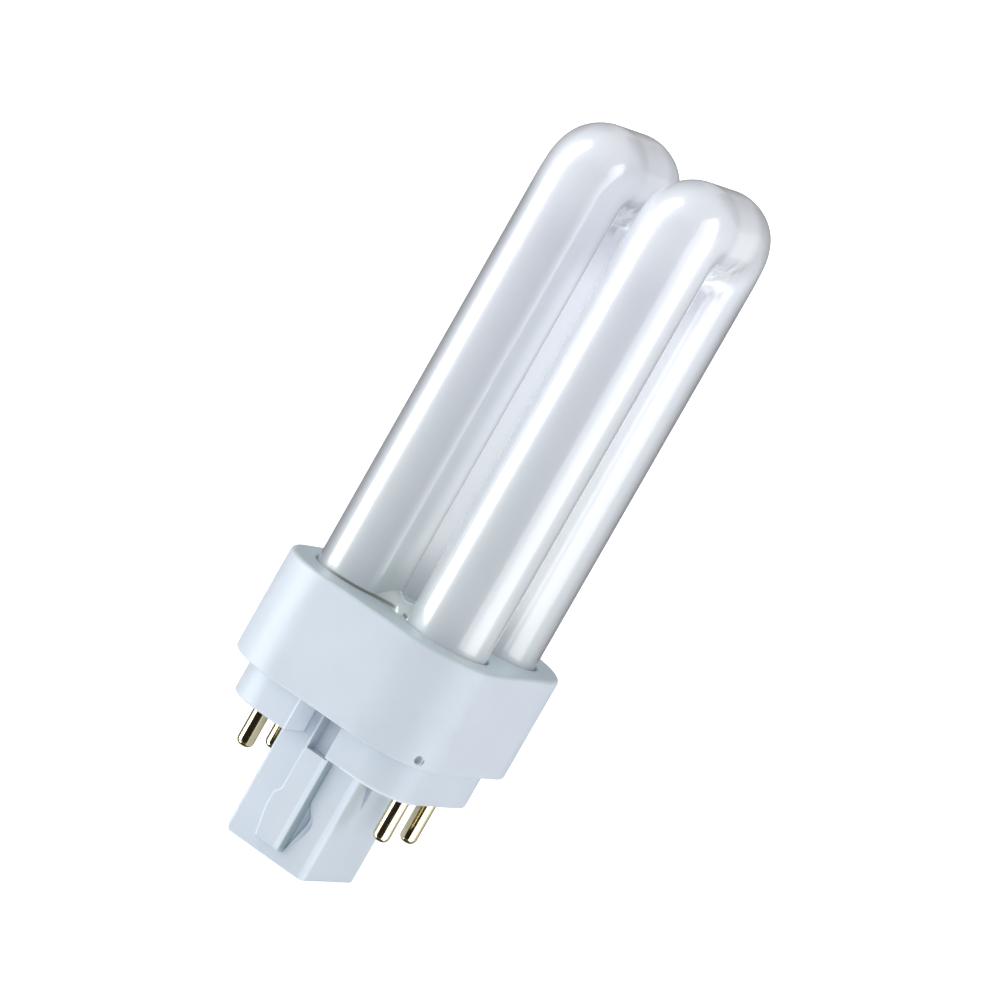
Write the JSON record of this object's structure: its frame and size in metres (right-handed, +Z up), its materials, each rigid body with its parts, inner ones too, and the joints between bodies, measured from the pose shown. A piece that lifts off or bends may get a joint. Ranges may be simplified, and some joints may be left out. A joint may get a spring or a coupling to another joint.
{
  "type": "compact fluorescent lamp",
  "caption": "Plug-in compact fluorescent lamp with U-shaped white glass tubes on a pale plastic cap with brass pins and a keyed centre post.",
  "frame": {"origin": "centre of the centre post's end, the lowest point of the lamp", "axes": "+Z up the tubes, +X along the long row of the pins, -Y to the side with the key rib"},
  "size_m": [0.0326, 0.0364, 0.1028],
  "materials": {
    "coated_glass": "glossy, opaque white coating inside",
    "cap_plastic": "satin gloss",
    "cement": "matt, hard cement",
    "pin_brass": "polished",
    "lead_metal": "tinned wire"
  },
  "bodies": {
    "root": {"glass_burner": "coated_glass", "collar": "cap_plastic", "cap_base": "cap_plastic", "basing_cement": "cement", "pin_left_front": "pin_brass", "pin_left_rear": "pin_brass", "pin_right_front": "pin_brass", "pin_right_rear": "pin_brass", "lead_left_front": "lead_metal", "lead_left_rear": "lead_metal", "lead_right_front": "lead_metal", "lead_right_rear": "lead_metal"}
  },
  "joints": []
}
